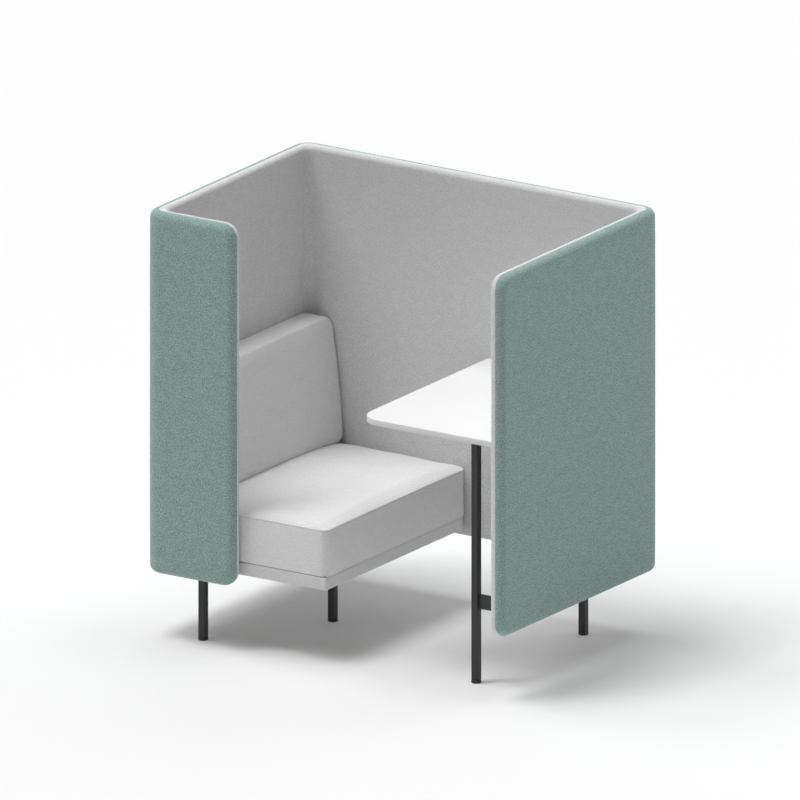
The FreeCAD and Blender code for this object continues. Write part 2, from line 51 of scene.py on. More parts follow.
ARC_STEPS = 8
BOOTH = "booth"


# Meshes

def make_piece(name, vertices, faces, material, weave=None, smooth=True):
    """Links a closed mesh with outward normals that rides on the booth."""
    mesh = bpy.data.meshes.new(name)
    mesh.from_pydata([tuple(point) for point in vertices], [], [tuple(face) for face in faces])
    if weave is not None:
        layer = mesh.attributes.new("weave", "FLOAT_VECTOR", "POINT")
        flat = np.zeros((len(vertices), 3), np.float32)
        flat[:, :2] = weave
        layer.data.foreach_set("vector", flat.ravel())
    work = bmesh.new()
    work.from_mesh(mesh)
    bmesh.ops.recalc_face_normals(work, faces=work.faces)
    work.to_mesh(mesh)
    work.free()
    mesh.polygons.foreach_set("use_smooth", [smooth] * len(mesh.polygons))
    mesh.materials.append(material)
    piece = bpy.data.objects.new(name, mesh)
    bpy.context.scene.collection.objects.link(piece)
    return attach(piece, BOOTH)


def subdivide(piece):
    """Adds a smoothing subdivision to a piece."""
    modifier = piece.modifiers.new("smooth", "SUBSURF")
    modifier.levels = modifier.render_levels = 1


def spaced(low, high, step):
    """Even positions from low to high, about step apart."""
    return np.linspace(low, high, max(2, round(abs(high - low) / step) + 1))


class Panel:
    """A rounded rectangle that is sampled as columns and rows, with a corner radius at each end.

    Insets at its first side are scaled by first_share.
    """

    def __init__(self, width, height, radii, step, first_share=1.0):
        self.width, self.height, self.radii, self.first_share = width, height, radii, first_share
        self.columns = spaced(radii[0], width - radii[1], step)
        self.rows = spaced(0, 1, step / height)
        self.index()

    def index(self):
        """Counts the grid and lists its rim in order."""
        self.across = len(self.columns) + 2 * ARC_STEPS
        self.up = len(self.rows)
        last_a, last_b = self.across - 1, self.up - 1
        rim = [(i, 0) for i in range(self.across)] + [(last_a, j) for j in range(1, self.up)]
        rim += [(i, last_b) for i in range(last_a - 1, -1, -1)]
        rim += [(0, j) for j in range(last_b - 1, 0, -1)]
        self.rim = np.array([i * self.up + j for i, j in rim])

    def points(self, inset):
        """Grid points (a, b) over the panel, drawn in by inset at its ends and its sides."""
        end, side = inset
        turn = np.linspace(0, QUARTER, ARC_STEPS + 1)[:-1]
        start, far = ((end + (radius - end) * (1 - np.cos(turn)),
                       side + (radius - side) * (1 - np.sin(turn))) for radius in self.radii)
        a = np.concatenate([start[0], self.columns, (self.width - far[0])[::-1]])
        low = np.concatenate([start[1], np.full(len(self.columns), side), far[1][::-1]])
        first = low - (1 - self.first_share) * side
        b = first[:, None] + self.rows[None, :] * (self.height - low - first)[:, None]
        return np.stack([np.repeat(a[:, None], self.up, 1), b], -1).reshape(-1, 2)

    def edge_distance(self, points):
        """Distance of points from the nearest side of the panel."""
        a, b = points[:, 0], points[:, 1]
        return np.minimum(np.minimum(a, self.width - a), np.minimum(b, self.height - b))

    def shell(self, profile, front, strip_from=None):
        """Closed shell: a front grid, rings down the profile and a back grid.

        A profile row is (inset, share, lift), with one inset or one for ends and one for sides, and
        its depth is share * front + lift. Returns the points (a, b, depth), the faces, the weave
        coordinates and the first index of each row.
        From row strip_from on the weave follows the rim, as on a sewn-in side strip.
        """
        rows, weave, starts, run, count = [], [], [], 0.0, 0
        last = len(profile) - 1
        before = None
        for number, (inset, share, lift) in enumerate(profile):
            inset = inset if isinstance(inset, tuple) else (inset, inset)
            grid = self.points(inset)
            part = grid if number in (0, last) else grid[self.rim]
            depth = share * front(part) + lift
            level = depth[self.rim].mean() if number == 0 else depth.mean()
            if before is None:
                outline = inset
            else:
                run += math.hypot(inset[1] - before[0], level - before[1])
            before = (inset[1], level)
            rows.append(np.column_stack([part, depth]))
            starts.append(count)
            count += len(part)
            if number in (0, last):
                weave.append(part)
            elif strip_from is not None and number >= strip_from:
                gaps = np.linalg.norm(np.diff(part, axis=0, prepend=part[:1]), axis=1)
                weave.append(np.column_stack([np.cumsum(gaps), np.full(len(part), -run)]))
            else:
                weave.append(self.points((outline[0] - run, outline[1] - run))[self.rim])
        faces = self.grid_faces(0) + self.grid_faces(starts[-1])
        ring = np.arange(len(self.rim))
        loops = [self.rim] + [start + ring for start in starts[1:-1]] + [starts[-1] + self.rim]
        for upper, lower in zip(loops, loops[1:]):
            faces += list(zip(upper, np.roll(upper, -1), np.roll(lower, -1), lower))
        return np.concatenate(rows), faces, np.concatenate(weave), starts + [count]

    def grid_faces(self, first):
        """Faces of a whole grid that starts at vertex first."""
        faces = []
        for i in range(self.across - 1):
            for j in range(self.up - 1):
                corner = first + i * self.up + j
                faces.append((corner, corner + self.up, corner + self.up + 1, corner + 1))
        return faces


def edge_round(end, side, steps):
    """Profile rows of a quarter round from the front face to the ends and sides."""
    turns = [QUARTER * k / steps for k in range(steps + 1)]
    return [((end * (1 - math.sin(t)), side * (1 - math.sin(t))), 1, -side * (1 - math.cos(t)))
            for t in turns]


PRESSURE, CLOTH_FRAMES = 4.0, 20


def inflate(piece, held, reach, low, high):
    """Swells a piece with Cloth between its held points, and keeps it inside reach and limits."""
    group = piece.vertex_groups.new(name="held")
    group.add([int(index) for index in held], 1.0, "REPLACE")
    cloth = piece.modifiers.new("swell", "CLOTH")
    settings = cloth.settings
    settings.quality = 6
    settings.mass = 0.3
    settings.tension_stiffness = settings.compression_stiffness = 18
    settings.bending_stiffness = 0.8
    settings.use_pressure = True
    settings.uniform_pressure_force = PRESSURE
    settings.vertex_group_mass = group.name
    settings.effector_weights.gravity = 0
    cloth.collision_settings.use_collision = False
    cloth.point_cache.frame_start, cloth.point_cache.frame_end = 1, CLOTH_FRAMES
    scene = bpy.context.scene
    for number in range(1, CLOTH_FRAMES + 1):
        scene.frame_set(number)
    swollen = piece.evaluated_get(bpy.context.evaluated_depsgraph_get()).data
    count = len(piece.data.vertices)
    rest, moved = np.empty(count * 3), np.empty(count * 3)
    piece.data.vertices.foreach_get("co", rest)
    swollen.vertices.foreach_get("co", moved)
    piece.modifiers.remove(cloth)
    piece.vertex_groups.remove(group)
    scene.frame_set(1)
    rest, moved = rest.reshape(-1, 3), moved.reshape(-1, 3)
    reach = np.array(reach)
    moved = np.clip(rest + reach * np.tanh((moved - rest) / reach), np.array(low), np.array(high))
    piece.data.vertices.foreach_set("co", moved.ravel())
    piece.data.update()


def rounded_path(corners, radii, closed, steps):
    """Plan points and outward normals along a path that turns left round its corners."""
    points, normals = [], []
    count = len(corners)
    for number in range(count):
        here = np.array(corners[number], float)
        back = np.array(corners[number - 1], float) - here
        ahead = np.array(corners[(number + 1) % count], float) - here
        if not closed and number in (0, count - 1):
            along = ahead if number == 0 else -back
            along = along / np.linalg.norm(along)
            points.append(here)
            normals.append((along[1], -along[0]))
            continue
        back, ahead = back / np.linalg.norm(back), ahead / np.linalg.norm(ahead)
        radius = radii[number]
        centre = here + (back + ahead) * radius
        first = math.atan2(-ahead[1], -ahead[0])
        for k in range(steps + 1):
            angle = first + QUARTER * k / steps
            normal = np.array([math.cos(angle), math.sin(angle)])
            points.append(centre + normal * radius)
            normals.append(normal)
    return np.array(points), np.array(normals)


def refine(points, normals, step, closed):
    """Adds points to the straight runs of a path."""
    count = len(points)
    new_points, new_normals = [], []
    for number in range(count if closed else count - 1):
        a, b = points[number], points[(number + 1) % count]
        na, nb = normals[number], normals[(number + 1) % count]
        parts = max(1, round(np.linalg.norm(b - a) / step))
        for k in range(parts):
            share = k / parts
            new_points.append(a + (b - a) * share)
            new_normals.append(na + (nb - na) * share)
    if not closed:
        new_points.append(points[-1])
        new_normals.append(normals[-1])
    return np.array(new_points), np.array(new_normals)


def sweep(points, normals, section, closed_path, closed_section):
    """Solid of a section (outward, height) along a plan path, with flat caps where it is open."""
    section = np.array(section)
    count, size = len(points), len(section)
    vertices = np.zeros((count, size, 3))
    vertices[:, :, :2] = points[:, None, :] + normals[:, None, :] * section[None, :, :1]
    vertices[:, :, 2] = section[None, :, 1]
    length = np.concatenate([[0], np.cumsum(np.linalg.norm(np.diff(points, axis=0), axis=1))])
    climb = np.concatenate([[0], np.cumsum(np.linalg.norm(np.diff(section, axis=0), axis=1))])
    weave = np.stack(np.broadcast_arrays(length[:, None], climb[None, :]), -1).reshape(-1, 2)
    faces = []
    for i in range(count if closed_path else count - 1):
        ahead = (i + 1) % count
        for j in range(size if closed_section else size - 1):
            up = (j + 1) % size
            faces.append((i * size + j, ahead * size + j, ahead * size + up, i * size + up))
    if not closed_path:
        faces += [tuple(range(size)), tuple((count - 1) * size + j for j in range(size))]
    if not closed_section:
        faces += [tuple(i * size for i in range(count)), tuple(i * size + size - 1 for i in range(count))]
    return vertices.reshape(-1, 3), faces, weave


def lathe(profile, sides):
    """Closed turned form about Z from a profile of (radius, height), with a flat cap at each end."""
    vertices, faces = [], []
    for radius, height in profile:
        for k in range(sides):
            angle = 2 * math.pi * k / sides
            vertices.append((radius * math.cos(angle), radius * math.sin(angle), height))
    for j in range(len(profile) - 1):
        for k in range(sides):
            ahead = (k + 1) % sides
            faces.append((j * sides + k, j * sides + ahead, (j + 1) * sides + ahead, (j + 1) * sides + k))
    last = (len(profile) - 1) * sides
    faces += [tuple(range(sides)), tuple(last + k for k in range(sides))]
    return np.array(vertices), faces


def repeat(form, places):
    """One mesh of the same form at several places, each a point and a direction for its Z."""
    vertices, faces = [], []
    base, base_faces = form
    for point, direction in places:
        turn = np.array(Vector((0, 0, 1)).rotation_difference(Vector(direction)).to_matrix())
        first = sum(len(part) for part in vertices)
        vertices.append(base @ turn.T + np.array(point))
        faces += [tuple(first + index for index in face) for face in base_faces]
    return np.concatenate(vertices), faces


# Materials. Sockets that share a name go by number: a Mix node has its factor at 0, two numbers at 2 and 3,
# two colours at 6 and 7, and a colour result at 2; a Map Range node has its new range at 3 and 4.

def add(tree, kind, inputs=None, **settings):
    """Adds a shader node; inputs are values or the sockets that feed them."""
    node = tree.nodes.new("ShaderNode" + kind)
    for key, value in settings.items():
        setattr(node, key, value)
    for key, value in (inputs or {}).items():
        if isinstance(value, bpy.types.NodeSocket):
            tree.links.new(value, node.inputs[key])
        else:
            node.inputs[key].default_value = value
    return node


def maths(tree, operation, first, second=0.5):
    """A math node's result; an operation on one value leaves second unused."""
    return add(tree, "Math", {0: first, 1: second}, operation=operation).outputs[0]


def weighted(tree, first, first_share, second, second_share):
    """The sum of two values, each times its share."""
    first = maths(tree, "MULTIPLY", first, first_share)
    second = maths(tree, "MULTIPLY", second, second_share)
    return maths(tree, "ADD", first, second)


def ramp(tree, factor, stops):
    """A colour ramp's result; stops are (position, linear colour)."""
    node = add(tree, "ValToRGB", {"Fac": factor})
    elements = node.color_ramp.elements
    while len(elements) < len(stops):
        elements.new(1.0)
    for element, (position, colour) in zip(elements, stops):
        element.position = position
        element.color = (*colour, 1.0)
    return node.outputs["Color"]


def new_material(name, roughness, specular, sheen=0.0):
    """A material with a Principled shader, and its tree and shader."""
    material = bpy.data.materials.new(name)
    material.use_nodes = True
    tree = material.node_tree
    shader = tree.nodes["Principled BSDF"]
    shader.inputs["Roughness"].default_value = roughness
    shader.inputs["Specular IOR Level"].default_value = specular
    shader.inputs["Sheen Weight"].default_value = sheen
    shader.inputs["Sheen Roughness"].default_value = 0.6
    return material, tree, shader


def set_bump(tree, shader, height, strength, distance):
    """Feeds a height to the shader's normal."""
    bump = add(tree, "Bump", {"Height": height, "Strength": strength, "Distance": distance})
    tree.links.new(bump.outputs["Normal"], shader.inputs["Normal"])


def seen_directly(tree):
    """1 for rays that show a surface to the camera, straight or in a mirror or glass, else 0."""
    path = add(tree, "LightPath").outputs
    seen = maths(tree, "MAXIMUM", path["Is Camera Ray"], path["Is Glossy Ray"])
    return maths(tree, "MAXIMUM", seen, path["Is Transmission Ray"])


def shade(colour, factor):
    """A colour made lighter or darker."""
    return tuple(min(1.0, channel * factor) for channel in colour)


def fabric(name, colour, spread, pitch, sheen):
    """Woven melange cloth: plain weave relief, single yarns that differ in tone, slow mottle, and painted
    shade in the gaps between yarns.
    """
    roughness, specular, relief, thickness, gap_shade = 0.9, 0.2, 0.35, 0.0005, 0.88
    slub_scale, mottle_scale = 230.0, 38.0
    yarn_share, slub_share, mottle_share, level = 0.3, 1.2, 0.25, 0.25
    material, tree, shader = new_material(name, roughness, specular, sheen)
    weave = add(tree, "Attribute", attribute_name="weave").outputs["Vector"]
    cell = add(tree, "VectorMath", {0: weave, "Scale": 1 / pitch}, operation="SCALE").outputs["Vector"]
    index = add(tree, "VectorMath", {0: cell}, operation="FLOOR").outputs["Vector"]
    over = add(tree, "TexChecker", {"Vector": cell, "Scale": 1.0}).outputs["Fac"]
    part = add(tree, "SeparateXYZ", {0: cell}).outputs
    ridges = [maths(tree, "ABSOLUTE", maths(tree, "SINE", maths(tree, "MULTIPLY", part[k], math.pi)))
              for k in (0, 1)]
    height = add(tree, "Mix", {0: over, 2: ridges[0], 3: ridges[1]}).outputs[0]
    yarn = add(tree, "TexWhiteNoise", {"Vector": index}, noise_dimensions="3D").outputs["Value"]
    slub = add(tree, "TexNoise", {"Vector": weave, "Scale": slub_scale, "Detail": 2.0}).outputs["Fac"]
    mottle = add(tree, "TexNoise", {"Vector": weave, "Scale": mottle_scale, "Detail": 2.0}).outputs["Fac"]
    tone = weighted(tree, yarn, yarn_share, slub, slub_share)
    tone = maths(tree, "SUBTRACT", tone, level)
    mottle = maths(tree, "MULTIPLY", maths(tree, "SUBTRACT", mottle, 0.5), mottle_share)
    tone = maths(tree, "ADD", tone, mottle)
    base = ramp(tree, tone, [(0.2, shade(colour, 1 - spread)), (0.5, colour),
                             (0.8, shade(colour, 1 + spread))])
    # Painted shade: the colour is darkened where the weave is low, between the yarns, where the relief
    # would be shaded.
    shadow = ramp(tree, height, [(0.0, (gap_shade, gap_shade, gap_shade)), (0.5, (1.0, 1.0, 1.0))])
    mixed = add(tree, "Mix", {0: 1.0, 6: base, 7: shadow}, data_type="RGBA", blend_type="MULTIPLY")
    tree.links.new(mixed.outputs[2], shader.inputs["Base Color"])
    set_bump(tree, shader, height, relief, thickness)
    return material


def object_coordinates(tree, scale=(1.0, 1.0, 1.0)):
    """Coordinates that stay with the piece, stretched by scale."""
    source = add(tree, "TexCoord").outputs["Object"]
    return add(tree, "Mapping", {"Vector": source, "Scale": scale}).outputs["Vector"]


def grained(name, colour, spread, scale, roughness, specular, strength, distance):
    """Coated or moulded surface with a fine grain in its colour and relief."""
    broad_scale, fine_share, broad_share, rough_swing = 14.0, 0.6, 0.4, 0.06
    material, tree, shader = new_material(name, roughness, specular)
    place = object_coordinates(tree)
    fine = add(tree, "TexNoise", {"Vector": place, "Scale": scale, "Detail": 3.0}).outputs["Fac"]
    broad = add(tree, "TexNoise", {"Vector": place, "Scale": broad_scale, "Detail": 2.0}).outputs["Fac"]
    tone = weighted(tree, fine, fine_share, broad, broad_share)
    base = ramp(tree, tone, [(0.3, shade(colour, 1 - spread)), (0.7, shade(colour, 1 + spread))])
    tree.links.new(base, shader.inputs["Base Color"])
    rough = add(tree, "MapRange", {"Value": broad, 3: roughness - rough_swing, 4: roughness + rough_swing})
    tree.links.new(rough.outputs[0], shader.inputs["Roughness"])
    set_bump(tree, shader, fine, strength, distance)
    return material


def wood(name, dark, light, stretch, ring_scale):
    """Sawn wood with grain along one axis."""
    roughness, specular, relief, depth = 0.6, 0.3, 0.2, 0.0006
    pore_scale, ring_share, pore_share = 160.0, 0.6, 0.4
    material, tree, shader = new_material(name, roughness, specular)
    place = object_coordinates(tree, stretch)
    rings = add(tree, "TexWave", {"Vector": place, "Scale": ring_scale, "Distortion": 6.0, "Detail": 3.0,
                                  "Detail Scale": 1.5}, bands_direction="Z").outputs["Fac"]
    pores = add(tree, "TexNoise", {"Vector": place, "Scale": pore_scale, "Detail": 4.0}).outputs["Fac"]
    tone = weighted(tree, rings, ring_share, pores, pore_share)
    tree.links.new(ramp(tree, tone, [(0.2, dark), (0.8, light)]), shader.inputs["Base Color"])
    set_bump(tree, shader, tone, relief, depth)
    return material


GREEN = (0.32, 0.456, 0.42)
WALL_GREY = (0.79, 0.79, 0.79)
SEAT_GREY = (0.88, 0.88, 0.88)
# The base band's cloth is the seat's cloth painted darker: its grey stands in for the shade that the
# cushion's overhang casts on the band.
BASE_SHADED_GREY = (0.78, 0.78, 0.78)
WHITE = (0.825, 0.825, 0.825)
DUST_GREY = (0.55, 0.55, 0.55)
BOARD = (0.42, 0.31, 0.2)
TIMBER_DARK, TIMBER_LIGHT = (0.42, 0.28, 0.15), (0.64, 0.48, 0.3)
PLY_DARK, PLY_LIGHT = (0.5, 0.37, 0.22), (0.68, 0.54, 0.36)
COAT_BLACK, PLASTIC_BLACK = (0.022, 0.022, 0.0225), (0.02, 0.02, 0.02)
# fabric: colour, spread of its tone, pitch of its weave, sheen
# grained: colour, spread, scale of its grain, roughness, specular level, strength and depth of its relief
# wood: dark and light colour, stretch along its axes, scale of its rings
COATS = {
    "outer_fabric": fabric("green_melange_cloth", GREEN, 0.42, 0.0013, 0.1),
    "inner_fabric": fabric("grey_heather_cloth", WALL_GREY, 0.16, 0.0013, 0.1),
    "seat_fabric": fabric("seat_heather_cloth", SEAT_GREY, 0.1, 0.0013, 0.1),
    # The base band's cloth is painted darker, for the shade under the cushion's overhang.
    "base_cloth": fabric("base_cloth_painted_shade", BASE_SHADED_GREY, 0.1, 0.0013, 0.1),
    "dust_cloth": fabric("pale_dust_cloth", DUST_GREY, 0.06, 0.0016, 0.05),
    "core_board": grained("raw_fibre_board", BOARD, 0.3, 420.0, 0.8, 0.2, 0.3, 0.0004),
    "timber": wood("planed_timber", TIMBER_DARK, TIMBER_LIGHT, (2.0, 2.0, 9.0), 6.0),
    "plywood": wood("sanded_plywood", PLY_DARK, PLY_LIGHT, (1.5, 6.0, 30.0), 5.0),
    "laminate": grained("white_laminate", WHITE, 0.012, 1500.0, 0.62, 0.2, 0.06, 0.0001),
    "black_steel": grained("black_powder_coat", COAT_BLACK, 0.2, 1100.0, 0.5, 0.45, 0.12, 0.0001),
    "black_plastic": grained("black_moulded_plastic", PLASTIC_BLACK, 0.15, 1700.0, 0.55, 0.4, 0.1, 0.0001),
}
for row in frame["record"]["subparts"]:
    node = frame["nodes"][row["node"]]
    coat = COATS[row["material_slot"]]
    if node.material_slots:
        for place in node.material_slots:
            place.material = coat
    else:
        node.data.materials.append(coat)


# Padded screen: an outer and an inner cover that meet on a line between them

SEAM_ROUND, SEAM_GAP = 0.0016, 0.00015
FREE_CORNER = 0.045
OUTER_ROUND, INNER_ROUND = 0.023, 0.016
CORE_INSET, CORE_LIP, CORE_RECESS = 0.029, 0.001, 0.0083
EDGE_SETTLE, SETTLE_WIDTH = 0.0008, 0.06
SCREEN_STEP, CORNER_STEPS, LEAST_STEP, TINY = 0.028, 10, 0.002, 1e-6
ROUND_STEPS, SEAM_STEPS = 8, 3
BRIDGE_RADIUS, BRIDGE_BLEND, BRIDGE_GAP = 0.028, 0.05, 0.015

left_x, front_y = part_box("outer_pad_left")[0].x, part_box("outer_pad_wing")[0].y
right_x, rear_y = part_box("outer_pad_right")[1].x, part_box("outer_pad_back")[1].y
wing_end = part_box("outer_pad_wing")[1].x
screen_low, screen_high = (corner.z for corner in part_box("outer_pad_back"))
outer_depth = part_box("outer_pad_back")[1].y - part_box("outer_pad_back")[0].y
inner_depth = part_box("inner_pad_back")[1].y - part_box("inner_pad_back")[0].y
corner_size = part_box("outer_corner_rear_left")[1].x - left_x
line_radius = corner_size - outer_depth
arc_length = line_radius * QUARTER
# A segment is its length, start or arc centre, outward angle at its start, and turn
SEGMENTS = [
    (wing_end - left_x - corner_size, (wing_end, front_y + outer_depth), -QUARTER, 0),
    (arc_length, (left_x + corner_size, front_y + corner_size), -QUARTER, -QUARTER),
    (rear_y - front_y - 2 * corner_size, (left_x + outer_depth, front_y + corner_size), -math.pi, 0),
    (arc_length, (left_x + corner_size, rear_y - corner_size), math.pi, -QUARTER),
    (right_x - left_x - 2 * corner_size, (left_x + corner_size, rear_y - outer_depth), QUARTER, 0),
    (arc_length, (right_x - corner_size, rear_y - corner_size), QUARTER, -QUARTER),
    (rear_y - front_y - corner_size, (right_x - outer_depth, rear_y - corner_size), 0.0, 0),
]
KNOTS = np.concatenate([[0], np.cumsum([segment[0] for segment in SEGMENTS])])
LINE_TINY = 1e-9
# The inner cloth bridges an inside corner above what stands in it: segment, lowest level
bridge_reach = BRIDGE_RADIUS - (line_radius - inner_depth)
over_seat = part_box("seat_cushion")[1].z + BRIDGE_GAP
over_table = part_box("table_top")[1].z + BRIDGE_GAP
BRIDGES = ((1, over_seat), (3, over_seat), (5, over_table))


def on_line(a):
    """Plan points and outward normals at lengths a along the meeting line."""
    points, normals = np.zeros((len(a), 2)), np.zeros((len(a), 2))
    for (length, origin, angle, turn), start in zip(SEGMENTS, KNOTS):
        here = a >= start - LINE_TINY
        run = a[here] - start
        angles = angle + turn * run / length
        outward = np.column_stack([np.cos(angles), np.sin(angles)])
        if turn:
            points[here] = np.array(origin) + line_radius * outward
        else:
            ahead = np.array([math.sin(angle), -math.cos(angle)])
            points[here] = np.array(origin) + run[:, None] * ahead
        normals[here] = outward
    return points, normals


def outer_face(a, height):
    """Plan points of the outer padding's face at lengths a along the meeting line, alike at any height."""
    points, normals = on_line(a)
    return points + normals * outer_depth


def inner_face(a, height):
    """Plan points of the inner padding's face, with wide inside corners where nothing stands in them."""
    points, normals = on_line(a)
    face = points - normals * inner_depth
    half = arc_length / 2
    for number, clear in BRIDGES:
        _, centre, angle, turn = SEGMENTS[number]
        run = a - KNOTS[number] - half
        near = np.abs(run) < half + bridge_reach
        middle = angle + turn / 2
        angles = middle + turn / 2 * run[near] / (half + bridge_reach)
        shift = math.sqrt(2) * bridge_reach * np.array([math.cos(middle), math.sin(middle)])
        around = np.column_stack([np.cos(angles), np.sin(angles)])
        bridged = np.array(centre) - shift + BRIDGE_RADIUS * around
        rise = np.clip((height[near] - clear) / BRIDGE_BLEND, 0, 1)
        face[near] += (rise * rise * (3 - 2 * rise))[:, None] * (bridged - face[near])
    return face


def screen_columns():
    """Column positions along the meeting line, close together in the corners."""
    total, corner_step = KNOTS[-1], arc_length / CORNER_STEPS
    columns = [np.array([FREE_CORNER, total - FREE_CORNER])]
    for (length, _, _, turn), start in zip(SEGMENTS, KNOTS):
        columns.append(spaced(start, start + length, corner_step if turn else SCREEN_STEP))
        if turn:
            beside = spaced(0, bridge_reach, corner_step)
            columns += [start - beside, start + length + beside]
    columns = np.unique(np.concatenate(columns).round(7))
    columns = columns[(columns >= FREE_CORNER - TINY) & (columns <= total - FREE_CORNER + TINY)]
    return columns[np.concatenate([[True], np.diff(columns) > LEAST_STEP])]


def screen_cover(name, face, side, depth, radius, slot, nodes):
    """One padded half of the screen; side is 1 outside the meeting line and -1 inside it."""
    height = screen_high - screen_low
    panel = Panel(KNOTS[-1], height, (FREE_CORNER, FREE_CORNER), SCREEN_STEP)
    panel.columns = screen_columns()
    panel.index()

    def front(points):
        return depth - EDGE_SETTLE * np.exp(-np.maximum(panel.edge_distance(points) - radius, 0)
                                            / SETTLE_WIDTH)

    profile = edge_round(radius, radius, ROUND_STEPS) + [(0.0, 0, SEAM_GAP + SEAM_ROUND)]
    for k in range(1, SEAM_STEPS + 1):
        turn = QUARTER * k / SEAM_STEPS
        profile.append((SEAM_ROUND * (1 - math.cos(turn)), 0, SEAM_GAP + SEAM_ROUND * (1 - math.sin(turn))))
    profile += [(CORE_INSET - CORE_LIP, 0, SEAM_GAP), (CORE_INSET, 0, CORE_RECESS)]
    points, faces, weave, _ = panel.shell(profile, front)
    levels = screen_low + points[:, 1]
    plan, _ = on_line(points[:, 0])
    plan = plan + (face(points[:, 0], levels) - plan) * points[:, 2:] / depth
    vertices = np.column_stack([plan, levels])
    stretch = [(line_radius + side * depth) / line_radius if segment[3] else 1.0 for segment in SEGMENTS]
    lengths = np.concatenate([[0], np.cumsum([s[0] * k for s, k in zip(SEGMENTS, stretch)])])
    outside = np.minimum(weave[:, 0], 0) + np.maximum(weave[:, 0] - KNOTS[-1], 0)
    weave[:, 0] = np.interp(weave[:, 0], KNOTS, lengths) + outside
    cover = make_piece(name, vertices, faces, COATS[slot], weave)
    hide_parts(*nodes)


WALLS = ("wing", "left", "back", "right")
CORNERS = ("front_left", "rear_left", "rear_right")
screen_cover("screen_outer_cover", outer_face, 1, outer_depth, OUTER_ROUND, "outer_fabric",
             [f"outer_pad_{wall}" for wall in WALLS] + [f"outer_corner_{corner}" for corner in CORNERS])
screen_cover("screen_inner_cover", inner_face, -1, inner_depth, INNER_ROUND, "inner_fabric",
             [f"inner_pad_{wall}" for wall in WALLS] + [f"inner_corner_{corner}" for corner in CORNERS])


# Seat cushion: a crowned top panel sewn to a side strip, which bulges a little

SEAT_SEAM_DROP, SEAT_PUFF, SEAT_END_FALL, FALL_POWER = 0.027, 0.004, 0.0175, 3
SIDE_SWELL = 0.002
ROLL_DEGREES = (90, 74, 58, 42, 28, 16, 8)
# Rows of the groove at the seam: inset and lift from the seam. The first four are sewn, so they are held.
SEAM_GROOVE = ((0.0006, 0.0015), (0.0030, 0.0006), (0.0032, -0.0007), (0.0010, -0.0016), (0.0002, -0.0045))
SEWN_ROWS = 4
# Rows of the line at the foot: inset at the ends, inset at the sides and lift from the foot
FOOT_LINE = (
    (0.0003, 0.0002, 0.0085), (0.0005, 0.0005, 0.0066), (0.0002, 0.0002, 0.0052), (0.0, 0.0, 0.0044),
    (0.0010, 0.0, 0.0024), (0.0045, 0.0, 0.0010), (0.0065, 0.0004, 0.0003), (0.0090, 0.0090, 0.0002),
    (0.0118, 0.0118, 0.0002),
)


def end_fall(a, width):
    """How far the seat's crown and the backrest's foot have come down towards the ends."""
    return SEAT_END_FALL * np.abs(2 * a / width - 1) ** FALL_POWER


def seat_cushion():
    """Boxed cushion with a seam round its plump top and a line round its foot."""
    low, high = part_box("seat_cushion")
    swell, roll, side_roll, settle, step = 0.003, 0.016, 0.045, 0.004, 0.010
    open_fall, open_power = 0.3, 3
    seam, foot = high.z - SEAT_SEAM_DROP, low.z
    width, height = high.y - low.y, high.x - low.x - swell
    level_depth, backrest_depth, backrest_fade, roll_rise = 0.15, 0.13, 0.06, 0.0005
    front_radius, rear_radius, side_foot, wall_gap = 0.022, 0.020, 0.012, 0.0003
    panel = Panel(width, height, (front_radius, rear_radius), step)

    def full_top(points):
        forward = np.clip((points[:, 1] - level_depth) / (height - level_depth), 0, 1)
        rise = SEAT_SEAM_DROP + SEAT_PUFF - end_fall(points[:, 0], width)
        return seam + rise * (1 - open_fall * forward ** open_power)

    def front(points):
        a, b = points[:, 0], points[:, 1]
        inside = np.minimum(np.minimum(a, width - a) - roll, np.minimum(b, height - b) - side_roll)
        inside = np.maximum(inside, 0)
        clear = np.clip((b - backrest_depth) / backrest_fade, 0, 1)
        return full_top(points) - settle * clear * (1 - np.exp(-inside / (2 * roll)))

    profile = []
    for degrees in ROLL_DEGREES:
        turn = math.radians(degrees)
        share = 1 - math.cos(turn)
        profile.append(((roll * share, side_roll * share), math.sin(turn), seam * (1 - math.sin(turn))))
    groove = len(profile)
    profile += [(inset, 0, seam + lift) for inset, lift in SEAM_GROOVE]
    side = spaced(seam + SEAM_GROOVE[-1][1], foot + side_foot, step)[1:]
    profile += [(0.0, 0, level) for level in side]
    foot_line = len(profile)
    profile += [((end, rim), 0, foot + lift) for end, rim, lift in FOOT_LINE]
    points, faces, weave, starts = panel.shell(profile, front, groove)
    vertices = np.column_stack([low.x + points[:, 1], low.y + points[:, 0], points[:, 2]])
    cushion = make_piece("seat_cushion_cover", vertices, faces, COATS["seat_fabric"], weave)
    held = np.concatenate([np.arange(starts[groove], starts[groove + SEWN_ROWS]),
                           np.arange(starts[foot_line], starts[-1])])
    on_top = np.arange(len(points)) < starts[1]
    ceiling = np.column_stack([np.full(len(points), high.x), np.full(len(points), high.y + SIDE_SWELL),
                               np.where(on_top, full_top(points), points[:, 2] + roll_rise)])
    inflate(cushion, held, (swell, SIDE_SWELL, settle),
            (low.x + wall_gap, low.y - SIDE_SWELL, foot), ceiling)
    subdivide(cushion)
    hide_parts("seat_cushion")


seat_cushion()


# Backrest: a wedge that leans on the left wall, with a flat top and soft ends

FACE_SHARES = (0.86, 0.72, 0.58, 0.44, 0.3, 0.15)
REAR_DEGREES = (0, 30, 60, 80)


